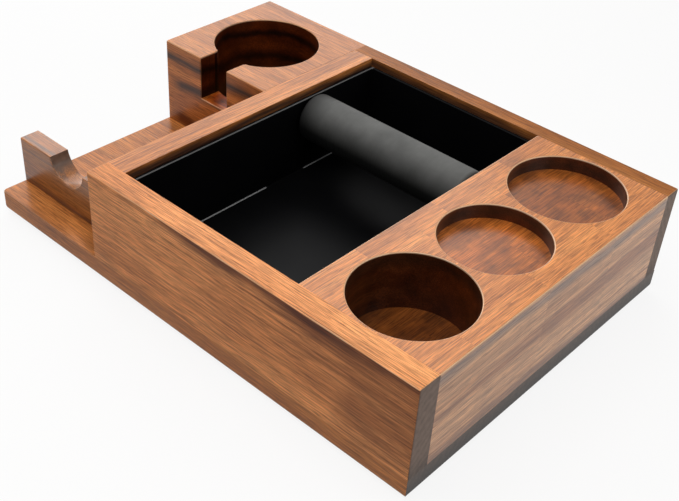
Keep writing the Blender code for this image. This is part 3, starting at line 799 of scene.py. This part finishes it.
class ToolBlockOperator(bpy.types.Operator):
    """Builds the block with its three round tool recesses"""

    bl_idname = "station.tool_block"
    bl_label = "Tool block"

    def execute(self, context):
        s = sizes()
        low, high = TOOL_BLOCK
        front, rear = FRONT_WALL[1].y, REAR_WALL[0].y
        block = plank("accessory_block_dressed", (low.x, front, BOARD[1].z), (high.x, rear, high.z))
        ease(block, s.edge, lambda a, b: lie(a, b, "z", high.z) and run(a, b, "y"))
        x = (low.x + high.x) / 2
        deep_y = low.y + s.front_land + s.deep_recess / 2
        rear_y = high.y - s.rear_land - s.rear_recess / 2
        middle_y = (deep_y + s.deep_recess / 2 + rear_y - s.rear_recess / 2) / 2 - s.middle_shift
        bores = []
        # Each floor is darkened by stain and painted shade, the deep recess's floor the most.
        for wide, depth, y, floor_tone in (
            (s.deep_recess, s.deep_recess_depth, deep_y, 0.32),
            (s.middle_recess, s.middle_recess_depth, middle_y, 0.70),
            (s.rear_recess, s.rear_recess_depth, rear_y, 0.52),
        ):
            cut(block, rod("recess", wide / 2, depth + REACH, (x, y, high.z + (REACH - depth) / 2)))
            ease(block, s.edge, lambda a, b: lie(a, b, "z", high.z) and round_about(a, b, (x, y), wide / 2))
            bores.append(Bore((x, y), wide / 2, high.z - depth, high.z, floor_tone))
        drill(block, screws_in("accessory_block"))
        finish = lacquered_wood(
            "lacquered_acacia_staves", "y", 31.0, band=0.008, heart=0.15, tone=0.85, veins=0.2,
            stave=((0.088, -0.024, 0), 0.060, 0.028), bores=bores, stripes=0.75, edge_highlight=0.9, gloss=0.65,
            belts=[
                Belt(0.0670, 0.004, 0.7, colours().wood_grey),
                Belt(0.0165, 0.0045, 0.75, colours().wood_pore),
            ],
        )
        dress(block, finish, "station", "accessory_block")
        return {"FINISHED"}


class WellBlockOperator(bpy.types.Operator):
    """Builds the block with the portafilter well and the slot for its neck"""

    bl_idname = "station.well_block"
    bl_label = "Portafilter block"

    def execute(self, context):
        s = sizes()
        shades = colours()
        low, high = WELL_BLOCK
        seat, side = BOARD[1].z, LEFT_WALL[0].x
        block = plank("portafilter_block_dressed", (low.x, low.y, seat), (side, high.y, high.z))
        x = (low.x + high.x) / 2
        y = (low.y + high.y) / 2
        half = s.neck_slot / 2
        floor = high.z - s.neck_slot_depth
        tall = high.z - low.z + 2 * REACH
        cut(block, rod("well", s.well / 2, tall, (x, y, (low.z + high.z) / 2)))
        cut(block, plank("slot", (x - half, low.y - REACH, floor), (x + half, y, high.z + REACH)))
        # The slot's sides meet the well's wall here.
        back = y - math.sqrt((s.well / 2) ** 2 - half ** 2)
        ease(block, s.slot_corner, lambda a, b: (
            run(a, b, "z") and abs(abs(a.x - x) - half) < SAME_PLACE and abs(a.y - back) < 0.0005
        ), 5)
        ease(block, s.edge, lambda a, b: (
            (lie(a, b, "z", high.z) and not lie(a, b, "x", side))
            or (lie(a, b, "y", low.y) and not lie(a, b, "z", seat) and not lie(a, b, "x", side))
            or (lie(a, b, "x", low.x) and lie(a, b, "y", high.y))
        ))
        drill(block, screws_in("portafilter_block"))
        # The slot is stained and darkened with painted shade as a bore is, in three circles along it.
        bores = [Bore((x, y), s.well / 2, low.z, high.z, 0.6)]
        for circle_y, radius in (
            (back, half * 1.02), (low.y + 0.0039, half + 0.0004), (low.y + 0.0112, half + 0.0004),
        ):
            bores.append(Bore((x, circle_y), radius, floor, high.z, 0.85))
        finish = lacquered_wood(
            "lacquered_acacia_well", "x", 41.0, band=0.012, heart=0.1, tone=0.72, veins=0.3, bores=bores,
            belts=[
                Belt(0.0625, 0.0034, 0.95, shades.wood_ink_and_painted_shade, -0.17),
                Belt(0.0450, 0.0046, 0.9, shades.wood_ink_and_painted_shade, -0.158),
                Belt(0.0535, 0.0030, 0.5, shades.wood_light),
                Belt(0.0180, 0.0070, 0.9, shades.wood_flame, -0.160),
            ],
        )
        dress(block, finish, "station", "portafilter_block")
        return {"FINISHED"}


class RestOperator(bpy.types.Operator):
    """Builds the notched rest for the portafilter's handle"""

    bl_idname = "station.rest"
    bl_label = "Handle rest"

    def execute(self, context):
        s = sizes()
        low, high = REST
        seat, side = BOARD[1].z, LEFT_WALL[0].x
        rest = plank("handle_rest_dressed", (low.x, low.y, seat), (side, high.y, high.z))
        middle = ((low.x + high.x) / 2, (low.y + high.y) / 2, high.z - s.notch_depth + s.notch_radius)
        cut(rest, rod("notch", s.notch_radius, high.y - low.y + 2 * REACH, middle, "y"))
        ease(rest, s.edge, lambda a, b: (
            ((lie(a, b, "y", low.y) or lie(a, b, "y", high.y))
             and not lie(a, b, "z", seat) and not lie(a, b, "x", side))
            or (lie(a, b, "z", high.z) and lie(a, b, "x", low.x))
        ))
        drill(rest, screws_in("handle_rest"))
        finish = lacquered_wood(
            "lacquered_acacia_rest", "x", 53.0, band=0.007, heart=0.55, tone=0.5, edge_highlight=0.0, gloss=0.75,
        )
        dress(rest, finish, "station", "handle_rest")
        return {"FINISHED"}


def on_rim_line(a, b):
    """Whether an edge of the bin's rim follows it, and doesn't cross from its outer to its inner line."""
    low, high = BIN
    s = sizes()
    left, right = low.x + s.bin_corner, high.x - s.bin_corner
    front, rear = low.y + s.bin_corner, high.y - s.bin_corner

    def inset(p):
        """How far a point lies in from the bin's outside."""
        dx = max(left - p.x, p.x - right)
        dy = max(front - p.y, p.y - rear)
        reach = math.hypot(dx, dy) if dx > 0 and dy > 0 else max(dx, dy)
        return s.bin_corner - reach

    return (inset(a) < s.bin_wall / 2) == (inset(b) < s.bin_wall / 2)


class BinOperator(bpy.types.Operator):
    """Builds the moulded knock bin that lifts out of the box"""

    bl_idname = "station.bin"
    bl_label = "Knock bin"

    def execute(self, context):
        s = sizes()
        low, high = BIN
        tray = plank("knock_bin_dressed", low, high)
        edit_faces(tray, lambda centre, normal: normal.z > 0.5)
        bpy.ops.mesh.delete(type="ONLY_FACE")
        leave_edit()
        ease(tray, s.bin_corner, lambda a, b: not lie(a, b, "z", high.z), 6)
        only(tray)
        bpy.ops.object.modifier_add(type="SOLIDIFY")
        shell = tray.modifiers[-1]
        shell.thickness = s.bin_wall
        shell.offset = -1
        shell.use_even_offset = True
        bpy.ops.object.modifier_apply(modifier=shell.name)
        ease(tray, s.bin_rim, lambda a, b: lie(a, b, "z", high.z) and on_rim_line(a, b), 4)
        for name in BAR_SCREWS:
            start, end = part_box(name)
            middle = (start + end) / 2
            head = (end.z - start.z) / 2
            outward = 1 if middle.x > 0 else -1
            face = end.x if outward > 0 else start.x
            place = (face - outward * (head / 2 - HEAD_ROOM), middle.y, middle.z)
            countersink(tray, head, BAR_HOLE, place, (0, -outward * math.pi / 2, 0))
            cut(tray, rod("hole", BAR_HOLE, 0.03, (face, middle.y, middle.z), "x", SCREW_SIDES))
        dress(tray, moulded_plastic(), "bin", "knock_bin")
        return {"FINISHED"}


class BarOperator(bpy.types.Operator):
    """Builds the knock bar: a rubber sleeve on a steel core"""

    bl_idname = "station.bar"
    bl_label = "Knock bar"

    def execute(self, context):
        s = sizes()
        low, high = SLEEVE
        middle = (low + high) / 2
        long = high.x - low.x
        sleeve = rod("bar_sleeve_dressed", (high.z - low.z) / 2, long, middle, "x", 96)
        ease(sleeve, s.sleeve_end, lambda a, b: lie(a, b, "x", low.x) or lie(a, b, "x", high.x), 6)
        cut(sleeve, rod("bore", s.bar_core / 2 + FIT, long + 0.01, middle, "x", 64))
        dress(sleeve, sleeve_rubber(), "bin", "bar_sleeve")
        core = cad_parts["bar_core"]
        core.data.materials.clear()
        core.data.materials.append(plated_metal("drawn_steel", colours().steel, 0.002, 0.25, 0.4))
        return {"FINISHED"}


def cross_screw(name, long, shank, head, tip):
    """A countersunk screw that points up from its head, with a cross recess and raised threads."""
    # The head's rim, the plain shank, a thread's pitch, and its root as a share of the shank.
    rim, plain, pitch, root = 0.0003, 0.002, 0.0012, 0.72
    bpy.ops.object.select_all(action="DESELECT")
    bpy.ops.mesh.primitive_cylinder_add(
        vertices=SCREW_SIDES, radius=head, depth=rim, location=(0, 0, rim / 2)
    )
    screw = settle(bpy.context.object, name)
    turns = max(1, int((long - tip - rim - (head - shank) - plain) / pitch))
    steps = [(head - shank, shank / head), (plain, 1.0)]
    steps += turns * [(pitch / 4, root), (pitch / 4, 1.0), (pitch / 4, 1 / root), (pitch / 4, 1.0)]
    if tip:
        steps.append((tip, 0.05))
    edit_faces(screw, lambda centre, normal: normal.z > 0.5)
    for rise, grow in steps:
        bpy.ops.mesh.extrude_region_move(TRANSFORM_OT_translate={"value": (0, 0, rise)})
        if grow != 1.0:
            bpy.ops.transform.resize(value=(grow, grow, 1))
    leave_edit()
    arm, half_arm, deep = head * 0.55, 0.00045, head * 0.6
    for wide, tall in ((half_arm, arm), (arm, half_arm)):
        cut(screw, plank("cross", (-wide, -tall, -0.001), (wide, tall, deep)))
    return screw


def copy_of(piece, name):
    """A copy of a piece with its own mesh."""
    made = piece.copy()
    made.data = piece.data.copy()
    made.name = made.data.name = name
    bpy.context.scene.collection.objects.link(made)
    return made


class FixingsOperator(bpy.types.Operator):
    """Builds the screws, finishes the dowels and makes the rubber feet"""

    bl_idname = "station.fixings"
    bl_label = "Screws, dowels and feet"

    def execute(self, context):
        zinc = plated_metal("zinc_plated_steel", colours().zinc, 0.0015, 0.28, 0.45)
        start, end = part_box(WOOD_SCREWS[0])
        head, tip = (end.x - start.x) / 2, 0.005
        pattern = cross_screw("wood_screw_pattern", end.z - start.z, WOOD_SHANK, head, tip)
        for name in WOOD_SCREWS:
            start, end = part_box(name)
            screw = copy_of(pattern, name + "_dressed")
            screw.location = ((start.x + end.x) / 2, (start.y + end.y) / 2, start.z)
            dress(settle(screw), zinc, "station", name)
        start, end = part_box(BAR_SCREWS[0])
        machine = cross_screw("bar_screw_pattern", end.x - start.x, BAR_SHANK, (end.z - start.z) / 2, 0)
        for name in BAR_SCREWS:
            start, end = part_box(name)
            screw = copy_of(machine, name + "_dressed")
            right = (start.x + end.x) > 0
            screw.rotation_euler = (0, -math.pi / 2 if right else math.pi / 2, 0)
            screw.location = (end.x if right else start.x, (start.y + end.y) / 2, (start.z + end.z) / 2)
            dress(settle(screw), zinc, "bin", name)
        for spare in (pattern, machine):
            bpy.data.objects.remove(spare, do_unlink=True)
        beech = turned_beech()
        for name in DOWELS:
            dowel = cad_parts[name]
            dowel.data.materials.clear()
            dowel.data.materials.append(beech)
        rubber = foot_rubber()
        for name in FEET:
            low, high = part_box(name)
            top = BOARD[0].z
            place = ((low.x + high.x) / 2, (low.y + high.y) / 2, (low.z + top) / 2)
            foot = rod(name + "_dressed", (high.x - low.x) / 2, top - low.z, place, sides=64)
            # The sole is dished inside a rim with a rounded edge.
            edge, rim, dish = 0.0005, 0.0022, 0.0004
            ease(foot, edge, lambda a, b: lie(a, b, "z", low.z), 3)
            edit_faces(foot, lambda centre, normal: normal.z < -0.99)
            bpy.ops.mesh.inset(thickness=rim)
            bpy.ops.mesh.inset(thickness=dish)
            bpy.ops.transform.translate(value=(0, 0, dish))
            leave_edit()
            dress(foot, rubber, "station", name)
        return {"FINISHED"}


def shows_background(tree):
    """Whether a ray comes from the camera, a reflection or through glass, and not from a lit surface."""
    rays = add(tree, "ShaderNodeLightPath").outputs
    seen = add(tree, "ShaderNodeMath", {
        0: rays["Is Camera Ray"], 1: rays["Is Glossy Ray"],
    }, operation="MAXIMUM")
    return add(tree, "ShaderNodeMath", {0: seen, 1: rays["Is Transmission Ray"]}, operation="MAXIMUM")


def floor_finish():
    """Pale board: it scatters light as a light grey and shows nearly white, with its soft shadow."""
    made, tree, shader = new_finish("pale_studio_board", 0.8)
    shader.inputs["Base Color"].default_value = (*colours().floor, 1.0)
    glow = add(tree, "ShaderNodeEmission", {"Color": (1, 1, 1, 1), "Strength": 1.0})
    share = add(tree, "ShaderNodeMath", {0: shows_background(tree), 1: 0.88}, operation="MULTIPLY")
    both = add(tree, "ShaderNodeMixShader", {0: share, 1: shader, 2: glow})
    feed(tree, tree.nodes["Material Output"], {"Surface": both})
    return made


def set_world(scene):
    """A white surround for the camera and in reflections, and a dim one for the light it sheds."""
    world = bpy.data.worlds.new("studio_surround")
    scene.world = world
    world.use_nodes = True
    tree = world.node_tree
    dim = tree.nodes["Background"]
    feed(tree, dim, {"Color": (1, 1, 1, 1), "Strength": 0.08})
    white = add(tree, "ShaderNodeBackground", {"Color": (1, 1, 1, 1), "Strength": 1.0})
    both = add(tree, "ShaderNodeMixShader", {0: shows_background(tree), 1: dim, 2: white})
    feed(tree, tree.nodes["World Output"], {"Surface": both})


class StageOperator(bpy.types.Operator):
    """Sets up the floor, the studio light and the camera"""

    bl_idname = "station.stage"
    bl_label = "Studio"

    def execute(self, context):
        scene = bpy.context.scene
        bpy.ops.object.select_all(action="DESELECT")
        bpy.ops.mesh.primitive_plane_add(size=8, location=(0, 0, 0))
        floor = settle(bpy.context.object, "studio_floor")
        floor.data.materials.append(floor_finish())
        for name, place, aim, wide, watts in (
            ("rear_left_softbox", (-0.80, 0.42, 0.68), (0, 0, 0.03), 1.3, 12.5),
            ("overhead", (0.03, -0.22, 0.62), (0.03, -0.1, 0.03), 0.5, 2.6),
            ("right_fill", (0.80, 0.15, 0.35), (0, 0, 0.03), 0.5, 2.1),
        ):
            bpy.ops.object.light_add(type="AREA", location=place)
            lamp = bpy.context.object
            lamp.name = name
            lamp.data.shape = "SQUARE"
            lamp.data.size = wide
            lamp.data.energy = watts
            lamp.rotation_euler = (Vector(aim) - Vector(place)).to_track_quat("-Z", "Y").to_euler()
        set_world(scene)
        bpy.ops.object.camera_add(location=CAMERA_PLACE)
        camera = bpy.context.object
        camera.name = "photograph_view"
        look = Vector(CAMERA_LOOK).to_track_quat("-Z", "Y")
        camera.rotation_mode = "QUATERNION"
        camera.rotation_quaternion = look @ Quaternion((0, 0, 1), CAMERA_ROLL)
        camera.data.lens = CAMERA_LENS
        camera.data.sensor_width = 36
        scene.camera = camera
        scene.view_settings.view_transform = "Standard"
        return {"FINISHED"}


class StationPanel(bpy.types.Panel):
    """Lists the station's building steps, its sizes and its colours"""

    bl_idname = "VIEW3D_PT_station"
    bl_label = "Tamping station"
    bl_space_type = "VIEW_3D"
    bl_region_type = "UI"
    bl_category = "Station"

    def draw(self, context):
        for step in STEPS:
            self.layout.operator(step.bl_idname)
        for group in (context.scene.station_sizes, context.scene.station_colours):
            box = self.layout.box()
            for name in group.__annotations__:
                box.prop(group, name)


STEPS = (
    BoardOperator, WallsOperator, ToolBlockOperator, WellBlockOperator, RestOperator,
    BinOperator, BarOperator, FixingsOperator, StageOperator,
)
CLASSES = (StationSizes, StationColours, *STEPS, StationPanel)


def register():
    for item in CLASSES:
        bpy.utils.register_class(item)
    bpy.types.Scene.station_sizes = PointerProperty(type=StationSizes)
    bpy.types.Scene.station_colours = PointerProperty(type=StationColours)


def unregister():
    del bpy.types.Scene.station_colours
    del bpy.types.Scene.station_sizes
    for item in reversed(CLASSES):
        bpy.utils.unregister_class(item)


def main():
    register()
    for step in STEPS:
        group, name = step.bl_idname.split(".")
        getattr(getattr(bpy.ops, group), name)()


if __name__ == "__main__":
    main()
